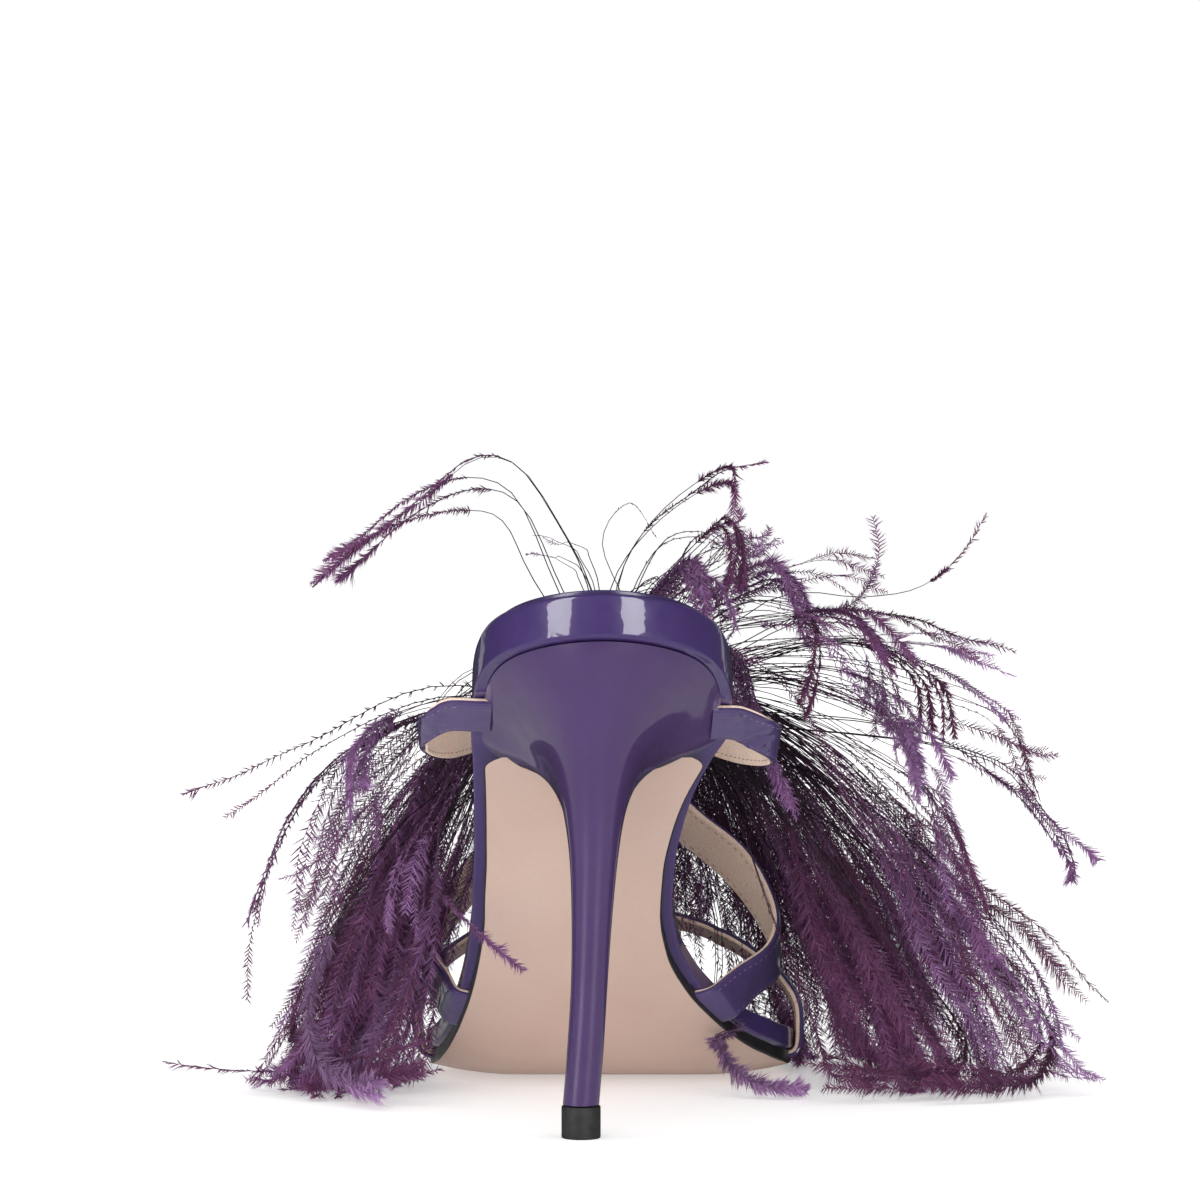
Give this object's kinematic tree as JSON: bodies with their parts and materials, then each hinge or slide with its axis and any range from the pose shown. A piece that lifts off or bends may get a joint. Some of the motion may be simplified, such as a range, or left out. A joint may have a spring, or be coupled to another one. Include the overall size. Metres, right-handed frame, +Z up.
{
  "type": "stiletto mule sandal with feather trim",
  "caption": "Left patent leather stiletto mule with crossed instep straps, a toe strap, a leather outsole and a bunch of ostrich feathers over the instep.",
  "frame": {"origin": "centre of the heel tip's flat face on the floor", "axes": "+Y from the heel to the toe along the floor, +X to the inner (big toe) side of this left shoe, +Z up from the floor"},
  "size_m": [0.2074, 0.2018, 0.142],
  "materials": {
    "patent": "purple patent leather with a clear glossy coat",
    "sock_patent": "purple patent leather footbed cover",
    "sole_leather": "smooth waxed beige sole leather with a black painted edge",
    "strap_lining": "matt beige kid lining",
    "top_lift_rubber": "matt black moulded rubber",
    "feather": "dyed ostrich feather, soft barbs on dark shafts"
  },
  "bodies": {
    "root": {"outsole": "sole_leather", "insole_platform": "patent", "insole_sock": "sock_patent", "heel": "patent", "top_lift": "top_lift_rubber", "cross_straps": "patent", "toe_strap": "patent", "feathers_outer": "feather", "feathers_inner": "feather", "feathers_crest": "feather"}
  },
  "joints": []
}
